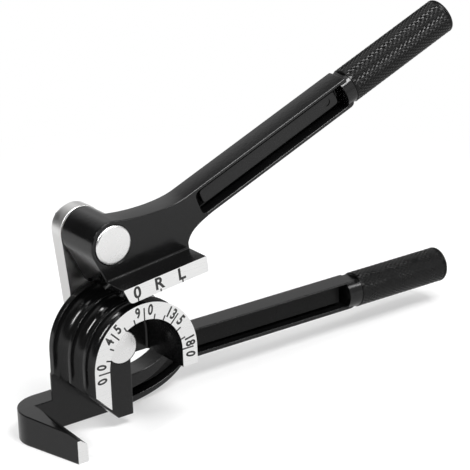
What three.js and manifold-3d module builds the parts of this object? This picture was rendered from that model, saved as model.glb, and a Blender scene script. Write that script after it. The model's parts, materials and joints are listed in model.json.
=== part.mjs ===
// A hand tube bender for three tube sizes. Millimetres, +Z up.
// Every piece is drawn round the bend axis: X runs from the 0 mark to the 180 mark of the scale,
// Y runs from the scale face to the back, and the last lines set the whole tool on its base.
import * as THREE from 'three';
import { mergeVertices } from 'three/addons/utils/BufferGeometryUtils.js';
import { ConvexGeometry } from 'three/addons/geometries/ConvexGeometry.js';
import Module from 'manifold-3d';

const wasm = await Module();
wasm.setup();

// Tube grooves, from the scale face to the back, and the lands beside them
const tubeDiameters = [6, 8, 10];
const grooveClearance = 0.2;
const frontLand = 0.6;
const middleLand = 1.8;
const backLand = 2.6;

// Former: an arch with two legs, a web that closes its back, and a block that holds the lower pin
const formerRadius = 23.2;
const formerWall = 6.7;
const leftLegDrop = 8.8;
const rightLegDrop = 7.3;
const webThickness = 8;
const blockSetback = 16.8;
const blockRight = 3.7;
const blockDrop = 28.9;
const lowerBossWall = 0.35;

// Back part of the lower casting: plate, arm, spine and handle, all of one thickness
const backThickness = 9.4;
const baseDrop = 33.2;
const armTopDrop = 20.6;
const flatEnd = 4;
const swingGap = 0.4;
const gussetThickness = 2.5;
const spineReach = 44;
const spineBendRadius = 5;
const spineTopStart = 10;
const spineTopEnd = 46;
const spineTopPull = 22;
const spineTopEndPull = 15.5;
const spineTopDip = 0.4;
const spineBottomShares = [[0.45, 0.982], [0.73, 0.889], [0.875, 0.669]];
const spineRecessShares = [[0.2, 0.9], [0.52, 0.89], [0.7, 0.795], [0.86, 0.675]];
const spineRecessTopShares = [[0.2, 0.807], [0.75, 0.768]];
const spineRecessPull = 13;

// Hook that keeps the tube in its groove
const hookEndWidth = 4.4;
const hookEndHeight = 9;
const hookFrontGap = 5;
const hookBackGap = 7.7;
const hookLap = 2;
const hookLean = 13;
const hookCornerRadius = 12.5;
const hookCrestDrop = 1;
const hookNose = 3.5;
const hookChamferShare = 0.54;
const hookChamferDrop = 1.7;

// Handles: a beam with a long recess in front, then a round neck and a knurled grip
const lowerHandle = { droop: 0.48, axisDrop: 15.5, height: 12, rimTop: 0.8, rimBottom: 1.7 };
const lowerLengths = { beam: 125, neckSink: 4, neck: 3.6, grip: 44.4 };
const lowerRecessDepth = 5.6;
const upperHandle = { rise: 15.2, axisDrop: 8.75, height: 12.8, rimTop: 1.2, rimBottom: 1.4 };
const upperLengths = { beam: 118.6, neckSink: 3.1, neck: 2.8, grip: 51.5 };
const upperRecessDepth = 6;
const upperThickness = 10.3;
const beamCornerRadius = 2.4;
const neckRadius = 6.95;
const gripRadius = 7.35;
const gripEndRound = 1.2;
const gripEndWall = 8;
const tangRadius = 4.2;
const pressGap = 0.12;
const rollPinRadius = 1.5;
const rollPinBore = 0.6;
const rollPinSetback = 12;
const rollPinInset = 0.4;

// Link between the bend axis and the shoe pin
const linkLength = 44.9;
const linkLean = 6.3;
const linkHalfWidth = 9.6;
const linkThickness = 6.4;
const linkEdge = 0.4;

// Shoe handle
const shoeBossRadius = 9.4;
const shoeFaceSetback = 11.2;
const shoeGap = 1.75;
const shoeHeight = 6.4;
const shoeStart = 2.9;
const shoeEnd = 33;
const shoeSetback = 1.2;
const shoeCornerRadius = 1.6;
const neckBlockEnd = 8.5;
const upperRecessStart = 39;
const recessRound = 2.8;
const ejectorMark = { radius: 1.6, depth: 0.3, setback: 8.8, drop: 1.5 };
const shoeLeftTouch = 190;
const shoeTopCurveStart = 2.6;
const shoeTopCurveEnd = 36;
const shoeTopPull = 9.2;
const shoeRightLean = 1.6;
const shoeRightCurve = 8.5;
const shoeRightCurveRise = 2;

// Pins and what keeps them in
const pinRadius = 4.8;
const pinFit = 0.15;
const lowerHead = { radius: 6.6, height: 3, proud: 0.15, chamfer: 0.35 };
const upperHead = { radius: 7.8, height: 3.4, proud: 0.7, chamfer: 0.9 };
const headFit = 0.15;
const shimRadius = 8.6;
const shimThickness = 0.5;
const faceGap = 0.15;
const washerRadius = 8.2;
const washerThickness = 1;
const waveHeight = 0.5;
const waveThickness = 0.4;
const waveCount = 3;
const clipThickness = 1;
const clipBand = 1.7;
const clipGrooveDepth = 0.7;
const clipOpening = 46;
const clipLugRadius = 1.5;
const clipLugHole = 0.6;
const pinTail = 1.4;

// Facets and helpers
const arcFacets = 30;
const grooveFacets = 16;
const roundFacets = 28;
const curveFacets = 10;
const overrun = 2;
const seam = 0.02;

const formerBore = formerRadius - formerWall;
const grooveRadii = tubeDiameters.map((tube) => tube / 2 + grooveClearance);
const grooveCentres = [];
let reached = frontLand;
for (const radius of grooveRadii) {
  grooveCentres.push(reached + radius);
  reached += 2 * radius + middleLand;
}
const formerWidth = reached - middleLand + backLand;
const backFace = formerWidth + backThickness;
const webFace = formerWidth - webThickness;
const plateTopDrop = linkHalfWidth + swingGap;
const slopeEnd = -formerRadius + blockDrop - leftLegDrop;
const shoeDepth = formerWidth - shoeSetback;
const shoeBottom = formerRadius + shoeGap - linkLength;
const shoeTop = shoeBottom + shoeHeight;
const lowerAxisY = formerWidth + backThickness / 2;
const upperAxisY = shoeFaceSetback + upperThickness / 2;
const lowerReach = reachOf(lowerLengths);
const upperReach = reachOf(upperLengths);

const paint = () => new THREE.MeshStandardMaterial({ color: 0x15161a, roughness: 0.3, metalness: 0.1 });
const knurledPaint = () => new THREE.MeshStandardMaterial({ color: 0x1b1c20, roughness: 0.42, metalness: 0.3 });
const steel = () => new THREE.MeshStandardMaterial({ color: 0xc4c6c8, roughness: 0.28, metalness: 1 });
const springSteel = () => new THREE.MeshStandardMaterial({ color: 0x55575a, roughness: 0.4, metalness: 1 });

function solidOf(geometry) {
  const bare = geometry.clone();
  bare.deleteAttribute('normal');
  bare.deleteAttribute('uv');
  const merged = mergeVertices(bare);
  const points = merged.attributes.position.array;
  const corners = [];
  const index = merged.index.array;
  let volume = 0;
  const at = (i) => new THREE.Vector3().fromArray(points, 3 * i);
  for (let i = 0; i < index.length; i += 3) {
    const [a, b, c] = index.subarray(i, i + 3);
    if (a === b || b === c || c === a) continue;
    volume += at(a).dot(at(b).cross(at(c)));
    corners.push(a, b, c);
  }
  if (volume < 0) corners.reverse();
  return new wasm.Manifold(new wasm.Mesh({
    numProp: 3,
    vertProperties: Float32Array.from(points),
    triVerts: Uint32Array.from(corners),
  }));
}

// How far along a handle its beam, neck and grip reach from the pin
function reachOf({ beam, neckSink, neck, grip }) {
  return { beam, neck: beam - neckSink, grip: beam + neck, end: beam + neck + grip };
}

// Solid with an X-Z outline, from one depth to another
function slab(outline, front, back, facets = curveFacets) {
  const shape = outline instanceof THREE.Shape ? outline : new THREE.Shape(outline);
  const geometry = new THREE.ExtrudeGeometry(shape, {
    depth: back - front, bevelEnabled: false, curveSegments: facets,
  });
  geometry.rotateX(Math.PI / 2);
  geometry.translate(0, back, 0);
  return solidOf(geometry);
}

// Solid of revolution round an axis along Y, from a list of [radius, depth] pairs
function turned(profile, facets = roundFacets) {
  const points = profile.map(([radius, depth]) => new THREE.Vector2(radius, depth));
  return solidOf(new THREE.LatheGeometry(points, facets));
}

function rod(radius, front, back, facets = roundFacets) {
  return turned([[0, front], [radius, front], [radius, back], [0, back]], facets);
}

function ring(inner, outer, front, back) {
  return turned([[inner, front], [outer, front], [outer, back], [inner, back], [inner, front]]);
}

// A round bar along the handle, from a list of [radius, distance] pairs, in the handle's own frame
function bar(profile, depth, facets = roundFacets) {
  const points = profile.map(([radius, distance]) => new THREE.Vector2(radius, distance));
  const geometry = new THREE.LatheGeometry(points, facets);
  geometry.rotateZ(-Math.PI / 2);
  geometry.translate(0, depth, 0);
  return solidOf(geometry);
}

function moved(solid, x, y, z) {
  return solid.translate([x, y, z]);
}

// Positive angles turn +X towards +Z, as a rising handle does
function raised(solid, degrees) {
  return solid.rotate([0, -degrees, 0]);
}

function rectangle(left, bottom, right, top) {
  return [[left, bottom], [right, bottom], [right, top], [left, top]].map(([x, z]) => new THREE.Vector2(x, z));
}

// Point of a handle, from its distance along the handle and its height over the handle's axis
function handlePoint(degrees, axisDrop) {
  const angle = THREE.MathUtils.degToRad(degrees);
  return (distance, height) => new THREE.Vector2(distance, height - axisDrop)
    .rotateAround(new THREE.Vector2(), angle);
}

const onLower = handlePoint(-lowerHandle.droop, lowerHandle.axisDrop);
const onUpper = handlePoint(upperHandle.rise, upperHandle.axisDrop);

// Point of the lower casting's spine, from its shares of the spine's reach and of the base's drop
function sharePoint([along, down]) {
  return new THREE.Vector2(along * spineReach, -down * baseDrop);
}

// Rounded end of a beam: from its lower edge to its upper edge
function roundBeamEnd(shape, point, reach, height) {
  const half = height / 2;
  const r = beamCornerRadius;
  const corners = [[-half, -half + r], [half, half - r]];
  const lower = point(reach - r, corners[0][0]);
  shape.lineTo(lower.x, lower.y);
  let control = point(reach, corners[0][0]);
  let end = point(reach, corners[0][1]);
  shape.quadraticCurveTo(control.x, control.y, end.x, end.y);
  const next = point(reach, corners[1][1]);
  shape.lineTo(next.x, next.y);
  control = point(reach, corners[1][0]);
  end = point(reach - r, corners[1][0]);
  shape.quadraticCurveTo(control.x, control.y, end.x, end.y);
}

function archOutline(closedBack) {
  const shape = new THREE.Shape();
  shape.moveTo(-formerRadius, -leftLegDrop);
  shape.lineTo(-formerRadius, 0);
  shape.absarc(0, 0, formerRadius, Math.PI, 0, true);
  shape.lineTo(formerRadius, -rightLegDrop);
  if (closedBack) {
    shape.lineTo(blockRight, -rightLegDrop);
    shape.lineTo(blockRight, -blockDrop);
    shape.lineTo(slopeEnd, -blockDrop);
  } else {
    shape.lineTo(formerBore, -rightLegDrop);
    shape.lineTo(formerBore, 0);
    shape.absarc(0, 0, formerBore, 0, Math.PI, false);
    shape.lineTo(-formerBore, -leftLegDrop - formerWall);
  }
  return shape;
}

// Block between the left leg and the lower pin, with the same sloping bottom as the leg
function blockOutline() {
  const left = -formerBore - (formerWall - grooveRadii.at(-1)) / 2;
  return [
    [left, 0], [left, -leftLegDrop - (left + formerRadius)], [slopeEnd, -blockDrop],
    [blockRight, -blockDrop], [blockRight, 0],
  ].map(([x, z]) => new THREE.Vector2(x, z));
}

// Tool that cuts one groove round the arch and straight down both legs
function grooveTool(radius, depth) {
  const circle = [];
  for (let i = 0; i <= grooveFacets; i += 1) {
    const angle = (2 * Math.PI * (i % grooveFacets)) / grooveFacets;
    circle.push([formerRadius + radius * Math.cos(angle), depth + radius * Math.sin(angle)]);
  }
  const reach = formerRadius + radius + overrun;
  const upperHalf = slab(rectangle(-reach, -seam, reach, reach), depth - reach, depth + reach);
  let tool = turned(circle, 2 * arcFacets).intersect(upperHalf);
  for (const side of [-1, 1]) {
    const section = circle.slice(1).map(([x, y]) => new THREE.Vector2(side * x, y));
    const drop = leftLegDrop + formerWall + overrun;
    const straight = new THREE.ExtrudeGeometry(new THREE.Shape(section), { depth: drop, bevelEnabled: false });
    straight.translate(0, 0, -drop);
    tool = tool.add(solidOf(straight));
  }
  return tool;
}

function formerArch() {
  let arch = slab(archOutline(false), 0, formerWidth, arcFacets);
  arch = arch.add(slab(archOutline(true), webFace, formerWidth, arcFacets));
  for (let i = 0; i < grooveRadii.length; i += 1) {
    arch = arch.subtract(grooveTool(grooveRadii[i], grooveCentres[i]));
  }
  arch = arch.add(slab(blockOutline(), blockSetback, formerWidth));
  return arch.add(rod(lowerHead.radius + headFit + lowerBossWall, blockSetback, formerWidth));
}

function lowerBackOutline() {
  const half = lowerHandle.height / 2;
  const shape = new THREE.Shape();
  shape.moveTo(-formerRadius - hookLap, -baseDrop);
  shape.lineTo(flatEnd, -baseDrop);
  const [first, second, last] = spineBottomShares.map(sharePoint);
  shape.bezierCurveTo(first.x, first.y, second.x, second.y, last.x, last.y);
  const turn = onLower(last.x + spineBendRadius / 4, -half);
  const leave = onLower(last.x + spineBendRadius, -half);
  shape.quadraticCurveTo(turn.x, turn.y, leave.x, leave.y);
  roundBeamEnd(shape, onLower, lowerReach.beam, lowerHandle.height);
  const topEnd = onLower(spineTopEnd, half);
  shape.lineTo(topEnd.x, topEnd.y);
  shape.bezierCurveTo(topEnd.x - spineTopEndPull, topEnd.y, spineTopStart + spineTopPull,
    -armTopDrop - spineTopDip, spineTopStart, -armTopDrop);
  shape.lineTo(blockRight, -armTopDrop);
  shape.lineTo(blockRight, -plateTopDrop);
  shape.lineTo(-formerBore, -plateTopDrop);
  shape.lineTo(-formerBore, -armTopDrop);
  shape.lineTo(-formerRadius - hookLap, -armTopDrop);
  return shape;
}

// Front recess of the lower casting: along the spine, then along the handle
function lowerRecessOutline() {
  const top = lowerHandle.height / 2 - lowerHandle.rimTop;
  const bottom = -lowerHandle.height / 2 + lowerHandle.rimBottom;
  const [start, first, second, last] = spineRecessShares.map(sharePoint);
  const shape = new THREE.Shape();
  shape.moveTo(start.x, start.y);
  shape.bezierCurveTo(first.x, first.y, second.x, second.y, last.x, last.y);
  const leave = onLower(spineReach, bottom);
  shape.lineTo(leave.x, leave.y);
  const ends = [onLower(lowerReach.neck + seam, bottom), onLower(lowerReach.neck + seam, top)];
  for (const end of ends) shape.lineTo(end.x, end.y);
  const topEnd = onLower(spineTopEnd, top);
  const [topStart, pull] = spineRecessTopShares.map(sharePoint);
  shape.lineTo(topEnd.x, topEnd.y);
  shape.bezierCurveTo(topEnd.x - spineRecessPull, topEnd.y, pull.x, pull.y, topStart.x, topStart.y);
  return shape;
}

// Solid with an X-Y outline, from one height to another
function standing(plan, bottom, top) {
  const geometry = new THREE.ExtrudeGeometry(plan, {
    depth: top - bottom, bevelEnabled: false, curveSegments: curveFacets,
  });
  geometry.translate(0, 0, bottom);
  return solidOf(geometry);
}

// Everything over the plane through three points, inside a rectangle of the plan
function overPlane([a, b, c], [left, right], [front, back], height) {
  const normal = new THREE.Vector3().crossVectors(b.clone().sub(a), c.clone().sub(a));
  const level = (x, y) => a.z - (normal.x * (x - a.x) + normal.y * (y - a.y)) / normal.z;
  const corners = [left, right].flatMap((x) => [front, back].flatMap((y) => [0, height].map(
    (lift) => new THREE.Vector3(x, y, level(x, y) + lift))));
  return solidOf(new ConvexGeometry(corners));
}

// Hook: the arm turns forward round a large corner and crosses in front of the grooves
function hook() {
  const innerFront = -formerRadius - hookFrontGap;
  const innerBack = -formerRadius - hookBackGap;
  const outerFront = innerFront - hookEndWidth;
  const lean = THREE.MathUtils.degToRad(hookLean);
  const centreY = backFace - hookCornerRadius;
  const centreX = outerFront + (hookCornerRadius - centreY * Math.sin(lean)) / Math.cos(lean);
  const plan = new THREE.Shape();
  plan.moveTo(innerFront, 0);
  plan.lineTo(innerBack, formerWidth);
  plan.lineTo(-formerRadius, formerWidth);
  plan.lineTo(-formerRadius, backFace);
  plan.lineTo(centreX, backFace);
  plan.absarc(centreX, centreY, hookCornerRadius, Math.PI / 2, Math.PI + lean, false);
  plan.lineTo(outerFront, 0);
  const endTop = hookEndHeight - baseDrop;
  const crest = -armTopDrop - hookCrestDrop;
  const side = new THREE.Shape();
  side.moveTo(-overrun, endTop);
  side.lineTo(0, endTop);
  side.quadraticCurveTo(0, crest, hookNose, crest);
  side.lineTo(formerWidth, -armTopDrop);
  side.lineTo(formerWidth, -armTopDrop + overrun);
  side.lineTo(-overrun, -armTopDrop + overrun);
  const far = backFace + formerRadius;
  const overTop = slab(side, -far, far).rotate([0, 0, 90]);
  const chamfer = overPlane([
    new THREE.Vector3(innerBack, formerWidth, -armTopDrop),
    new THREE.Vector3(innerFront - hookEndWidth * hookChamferShare, 0, endTop),
    new THREE.Vector3(innerFront, 0, endTop - hookChamferDrop),
  ], [-far, innerFront + overrun], [-overrun, formerWidth], baseDrop);
  return standing(plan, -baseDrop, -armTopDrop).subtract(overTop).subtract(chamfer);
}

// Thin web behind the left leg, rounded at its free edge
function gusset() {
  const back = formerWidth + gussetThickness;
  const plan = new THREE.Shape();
  plan.moveTo(-formerBore, formerWidth);
  plan.lineTo(-formerRadius, formerWidth);
  plan.absarc(-formerRadius + gussetThickness, formerWidth, gussetThickness, Math.PI, Math.PI / 2, true);
  plan.lineTo(-formerBore, back);
  return standing(plan, -armTopDrop - overrun, -plateTopDrop);
}

// Round neck and tang of a handle, in the handle's own frame
function neckAndTang(reach, depth) {
  const tangEnd = reach.end - gripEndWall - pressGap;
  return bar([[0, reach.neck], [neckRadius, reach.neck], [neckRadius, reach.grip - pressGap],
    [tangRadius, reach.grip - pressGap], [tangRadius, tangEnd], [0, tangEnd]], depth);
}

function rollPinHole(reach, depth) {
  const hole = rod(rollPinRadius + pressGap, depth - tangRadius - overrun, depth + gripRadius + overrun, curveFacets);
  return moved(hole, reach.grip + rollPinSetback, 0, 0);
}

function formerHandle() {
  let casting = formerArch();
  casting = casting.add(slab(lowerBackOutline(), formerWidth, backFace));
  casting = casting.add(hook()).add(gusset());
  casting = casting.subtract(slab(lowerRecessOutline(), formerWidth - overrun, formerWidth + lowerRecessDepth));
  const neck = neckAndTang(lowerReach, lowerAxisY).subtract(rollPinHole(lowerReach, lowerAxisY));
  casting = casting.add(raised(moved(neck, 0, 0, -lowerHandle.axisDrop), -lowerHandle.droop));
  const headSeat = blockSetback + lowerHead.height - lowerHead.proud;
  casting = casting.subtract(rod(lowerHead.radius + headFit, blockSetback - overrun, headSeat));
  return casting.subtract(rod(pinRadius + pinFit, blockSetback, formerWidth + overrun));
}

// Front of the shoe handle: boss, web and beam in one outline, round the shoe pin
function shoeWebOutline() {
  const half = upperHandle.height / 2;
  const shape = new THREE.Shape();
  const leftTouch = THREE.MathUtils.degToRad(shoeLeftTouch);
  const rightTouch = Math.acos(shoeTopCurveStart / shoeBossRadius);
  shape.moveTo(shoeEnd, shoeBottom + shoeHeight / 2);
  shape.lineTo(-shoeStart, shoeBottom + shoeHeight / 2);
  shape.absarc(0, 0, shoeBossRadius, leftTouch, rightTouch, true);
  const touch = new THREE.Vector2(Math.cos(rightTouch), Math.sin(rightTouch)).multiplyScalar(shoeBossRadius);
  const rise = THREE.MathUtils.degToRad(upperHandle.rise);
  const join = onUpper(shoeTopCurveEnd, half);
  const pullTouch = touch.clone().add(new THREE.Vector2(touch.y, -touch.x).setLength(shoeTopPull));
  const pullJoin = join.clone().sub(new THREE.Vector2(Math.cos(rise), Math.sin(rise)).multiplyScalar(shoeTopPull));
  shape.bezierCurveTo(pullTouch.x, pullTouch.y, pullJoin.x, pullJoin.y, join.x, join.y);
  const reach = upperReach.beam;
  const r = beamCornerRadius;
  const far = [onUpper(reach - r, half), onUpper(reach, half), onUpper(reach, half - r), onUpper(reach, r - half),
    onUpper(reach, -half), onUpper(reach - r, -half)];
  shape.lineTo(far[0].x, far[0].y);
  shape.quadraticCurveTo(far[1].x, far[1].y, far[2].x, far[2].y);
  shape.lineTo(far[3].x, far[3].y);
  shape.quadraticCurveTo(far[4].x, far[4].y, far[5].x, far[5].y);
  const rightTop = shoeEnd + shoeRightLean;
  const bend = onUpper(rightTop, -half);
  const leave = onUpper(rightTop + shoeRightCurve, -half);
  const foot = new THREE.Vector2(shoeEnd, shoeTop + shoeRightCurveRise);
  shape.lineTo(leave.x, leave.y);
  shape.bezierCurveTo(bend.x + shoeRightLean, bend.y, rightTop, bend.y - shoeRightLean, foot.x, foot.y);
  return shape;
}

function upperRecessOutline() {
  const top = upperHandle.height / 2 - upperHandle.rimTop;
  const bottom = -upperHandle.height / 2 + upperHandle.rimBottom;
  const end = upperReach.neck + seam;
  const start = upperRecessStart;
  const [first, ...others] = [[end, bottom], [end, top], [start + recessRound, top], [start, top],
    [start, top - recessRound], [start, bottom + recessRound], [start, bottom],
    [start + recessRound, bottom]].map(([distance, height]) => onUpper(distance, height));
  const shape = new THREE.Shape();
  shape.moveTo(first.x, first.y);
  shape.lineTo(others[0].x, others[0].y);
  shape.lineTo(others[1].x, others[1].y);
  shape.quadraticCurveTo(others[2].x, others[2].y, others[3].x, others[3].y);
  shape.lineTo(others[4].x, others[4].y);
  shape.quadraticCurveTo(others[5].x, others[5].y, others[6].x, others[6].y);
  return shape;
}

// Left end of the shoe handle's neck, one slope from the boss to the shoe's lower edge
function shoeBlockOutline(right, top) {
  const leftTouch = THREE.MathUtils.degToRad(shoeLeftTouch);
  const boss = new THREE.Vector2(Math.cos(leftTouch), Math.sin(leftTouch)).multiplyScalar(shoeBossRadius);
  const foot = new THREE.Vector2(-shoeStart, shoeBottom);
  const along = (height) => boss.x + ((foot.x - boss.x) * (boss.y - height)) / (boss.y - foot.y);
  const shape = new THREE.Shape();
  shape.moveTo(along(top), top);
  const low = shoeBottom + shoeCornerRadius;
  shape.lineTo(along(low), low);
  shape.quadraticCurveTo(foot.x, foot.y, foot.x + shoeCornerRadius, shoeBottom);
  shape.lineTo(right, shoeBottom);
  shape.lineTo(right, top);
  return shape;
}

function shoeHandle() {
  let casting = slab(shoeWebOutline(), shoeFaceSetback, shoeFaceSetback + upperThickness, curveFacets);
  casting = casting.add(slab(shoeBlockOutline(neckBlockEnd, 0), shoeFaceSetback, shoeDepth));
  casting = casting.add(rod(shoeBossRadius, shoeFaceSetback, formerWidth));
  casting = casting.add(slab(shoeBlockOutline(shoeEnd, shoeTop), 0, shoeDepth));
  for (let i = 0; i < grooveRadii.length; i += 1) {
    const groove = bar([[0, -shoeEnd], [grooveRadii[i], -shoeEnd], [grooveRadii[i], shoeEnd + overrun],
      [0, shoeEnd + overrun]], grooveCentres[i], grooveFacets);
    casting = casting.subtract(moved(groove, 0, 0, formerRadius - linkLength));
  }
  casting = casting.subtract(slab(upperRecessOutline(), shoeFaceSetback - overrun,
    shoeFaceSetback + upperRecessDepth));
  const mark = onUpper(upperReach.beam - ejectorMark.setback, -ejectorMark.drop);
  const floor = shoeFaceSetback + upperRecessDepth;
  casting = casting.subtract(moved(rod(ejectorMark.radius, floor - overrun, floor + ejectorMark.depth),
    mark.x, 0, mark.y));
  const neck = neckAndTang(upperReach, upperAxisY).subtract(rollPinHole(upperReach, upperAxisY));
  casting = casting.add(raised(moved(neck, 0, 0, -upperHandle.axisDrop), upperHandle.rise));
  const headSeat = shoeFaceSetback + upperHead.height - upperHead.proud;
  casting = casting.subtract(rod(upperHead.radius + headFit, shoeFaceSetback - overrun, headSeat));
  return casting.subtract(rod(pinRadius + pinFit, shoeFaceSetback, formerWidth + overrun));
}

function linkPlate() {
  const shape = new THREE.Shape();
  shape.absarc(0, 0, linkHalfWidth - linkEdge, Math.PI, 2 * Math.PI, false);
  shape.absarc(0, linkLength, linkHalfWidth - linkEdge, 0, Math.PI, false);
  const geometry = new THREE.ExtrudeGeometry(shape, {
    depth: linkThickness - 2 * linkEdge, bevelSize: linkEdge, bevelThickness: linkEdge, bevelSegments: 1,
    curveSegments: roundFacets / 2,
  });
  geometry.rotateX(Math.PI / 2);
  geometry.translate(0, linkBack - linkEdge, 0);
  let plate = solidOf(geometry);
  for (const height of [0, linkLength]) {
    plate = plate.subtract(moved(rod(pinRadius + pinFit, formerWidth, linkBack + overrun), 0, 0, height));
  }
  return plate;
}

// Depths of the stack behind the castings: shim, link, wave washer, flat washer, clip
const shimFront = formerWidth + faceGap;
const linkFront = shimFront + shimThickness + faceGap;
const linkBack = linkFront + linkThickness;
const waveFront = linkBack + faceGap;
const washerFront = waveFront + waveHeight + waveThickness + faceGap;
const clipFront = washerFront + washerThickness + faceGap;
const pinEnd = clipFront + clipThickness + pinTail;

function pin(head, seatFace) {
  const front = seatFace - head.proud;
  const shoulder = front + head.height;
  const groove = pinRadius - clipGrooveDepth;
  const grooveBack = clipFront + clipThickness + faceGap;
  return turned([[0, front], [head.radius - head.chamfer, front], [head.radius, front + head.chamfer],
    [head.radius, shoulder - faceGap], [pinRadius, shoulder - faceGap], [pinRadius, clipFront - faceGap],
    [groove, clipFront - faceGap], [groove, grooveBack], [pinRadius, grooveBack],
    [pinRadius, pinEnd - head.chamfer], [pinRadius - head.chamfer, pinEnd], [0, pinEnd]]);
}

// Wave washer: a thin ring whose depth rises and falls three times round
function waveWasher() {
  const geometry = new THREE.RingGeometry(pinRadius + headFit * 2, washerRadius, roundFacets, 2);
  const place = geometry.attributes.position;
  const front = [];
  const back = [];
  for (let i = 0; i < place.count; i += 1) {
    const [x, z] = [place.getX(i), place.getY(i)];
    const wave = (waveHeight / 2) * (1 + Math.cos(waveCount * Math.atan2(z, x)));
    front.push(x, waveFront + wave, z);
    back.push(x, waveFront + wave + waveThickness, z);
  }
  const faces = Array.from(geometry.index.array);
  const count = place.count;
  const perRing = roundFacets + 1;
  const outer = count - perRing;
  for (let i = 0; i < roundFacets; i += 1) {
    faces.push(outer + i, outer + i + count, outer + i + 1, outer + i + 1, outer + i + count, outer + i + 1 + count);
    faces.push(i, i + 1, i + count, i + 1, i + 1 + count, i + count);
  }
  const flipped = Array.from(geometry.index.array).map((v) => v + count).reverse();
  const shell = new THREE.BufferGeometry();
  shell.setAttribute('position', new THREE.Float32BufferAttribute([...front, ...back], 3));
  shell.setIndex([...faces, ...flipped]);
  return solidOf(shell);
}

// Retaining clip: an open ring with a small drilled lug at each end
function retainingClip() {
  const inner = pinRadius - clipGrooveDepth + faceGap;
  const outer = inner + clipBand;
  const half = THREE.MathUtils.degToRad(clipOpening / 2);
  const shape = new THREE.Shape();
  shape.absarc(0, 0, outer, Math.PI / 2 + half, Math.PI / 2 - half + 2 * Math.PI, false);
  shape.absarc(0, 0, inner, Math.PI / 2 - half + 2 * Math.PI, Math.PI / 2 + half, true);
  let clip = slab(shape, clipFront, clipFront + clipThickness, roundFacets);
  const lugAngle = half + Math.asin(clipLugRadius / outer);
  for (const side of [-1, 1]) {
    const x = side * outer * Math.sin(lugAngle);
    const z = outer * Math.cos(lugAngle);
    clip = clip.add(moved(rod(clipLugRadius, clipFront, clipFront + clipThickness, curveFacets), x, 0, z));
    clip = clip.subtract(moved(rod(clipLugHole, clipFront - overrun, clipFront + overrun, curveFacets), x, 0, z));
  }
  return clip;
}

// Knurled grip with a blind bore, in the handle's own frame
function grip(reach, depth) {
  const round = [];
  for (let i = 0; i <= 3; i += 1) {
    const angle = (i * Math.PI) / 6;
    round.push([gripRadius - gripEndRound + gripEndRound * Math.cos(angle),
      reach.end - gripEndRound + gripEndRound * Math.sin(angle)]);
  }
  const bore = tangRadius + pressGap;
  const boreEnd = reach.end - gripEndWall;
  const body = bar([[0, boreEnd], [bore, boreEnd], [bore, reach.grip], [gripRadius - gripEndRound / 3, reach.grip],
    [gripRadius, reach.grip + gripEndRound / 2], ...round, [0, reach.end]], depth);
  const hole = rod(rollPinRadius + pressGap, depth, depth + gripRadius + overrun, curveFacets);
  return body.subtract(moved(hole, reach.grip + rollPinSetback, 0, 0));
}

// Roll pin: a slotted tube that locks the grip on its tang
function rollPin(reach, depth) {
  const front = depth - tangRadius + rollPinInset;
  const back = depth + gripRadius - rollPinInset;
  const slot = slab(rectangle(-rollPinBore / 3, 0, rollPinBore / 3, rollPinRadius + overrun),
    front - overrun, back + overrun);
  return moved(ring(rollPinBore, rollPinRadius, front, back).subtract(slot), reach.grip + rollPinSetback, 0, 0);
}

function piece(name, solid, material) {
  const mesh = solid.getMesh();
  const geometry = new THREE.BufferGeometry();
  geometry.setAttribute('position', new THREE.BufferAttribute(Float32Array.from(mesh.vertProperties), 3));
  geometry.setIndex(Array.from(mesh.triVerts));
  material.flatShading = true;
  const part = new THREE.Mesh(geometry, material);
  part.name = name;
  return part;
}

// Grip and roll pin on a handle that leaves its casting at an angle
function handleEnd(prefix, reach, depth, axisDrop, degrees) {
  const frame = new THREE.Group();
  frame.rotation.y = -THREE.MathUtils.degToRad(degrees);
  const inner = new THREE.Group();
  inner.position.z = -axisDrop;
  inner.add(piece(`${prefix}_grip`, grip(reach, depth), knurledPaint()));
  inner.add(piece(`${prefix}_grip_roll_pin`, rollPin(reach, depth), springSteel()));
  frame.add(inner);
  return frame;
}

// Shim, wave washer, flat washer and clip on one pin
function pinStack(prefix) {
  const shimBore = pinRadius + headFit;
  const stack = new THREE.Group();
  stack.add(piece(`${prefix}_shim`, ring(shimBore, shimRadius, shimFront, shimFront + shimThickness), steel()));
  stack.add(piece(`${prefix}_wave_washer`, waveWasher(), springSteel()));
  stack.add(piece(`${prefix}_washer`, ring(shimBore, washerRadius, washerFront, washerFront + washerThickness),
    steel()));
  stack.add(piece(`${prefix}_clip`, retainingClip(), springSteel()));
  return stack;
}

const formerSide = new THREE.Group();
formerSide.add(piece('former_handle', formerHandle(), paint()));
formerSide.add(piece('former_pin', pin(lowerHead, blockSetback), steel()));
formerSide.add(pinStack('former_pin'));
formerSide.add(handleEnd('lower', lowerReach, lowerAxisY, lowerHandle.axisDrop, -lowerHandle.droop));

const shoeSide = new THREE.Group();
shoeSide.position.z = linkLength;
shoeSide.add(piece('shoe_handle', shoeHandle(), paint()));
shoeSide.add(piece('shoe_pin', pin(upperHead, shoeFaceSetback), steel()));
shoeSide.add(pinStack('shoe_pin'));
shoeSide.add(handleEnd('upper', upperReach, upperAxisY, upperHandle.axisDrop, upperHandle.rise));

const linkSide = new THREE.Group();
linkSide.rotation.y = -THREE.MathUtils.degToRad(linkLean);
linkSide.add(piece('link_plate', linkPlate(), steel()));
linkSide.add(shoeSide);

// The tool stands on the flat bottom of its spine, with the origin under the bend axis
const tubeBender = new THREE.Group();
tubeBender.position.set(0, -lowerAxisY, baseDrop);
tubeBender.add(formerSide);
tubeBender.add(linkSide);

export default tubeBender;
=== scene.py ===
import json
import math
from contextlib import contextmanager

import bmesh
import bpy
from bmesh.types import BMEdge, BMFace, BMVert
from mathutils import Matrix, Vector
from mathutils.geometry import interpolate_bezier

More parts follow.
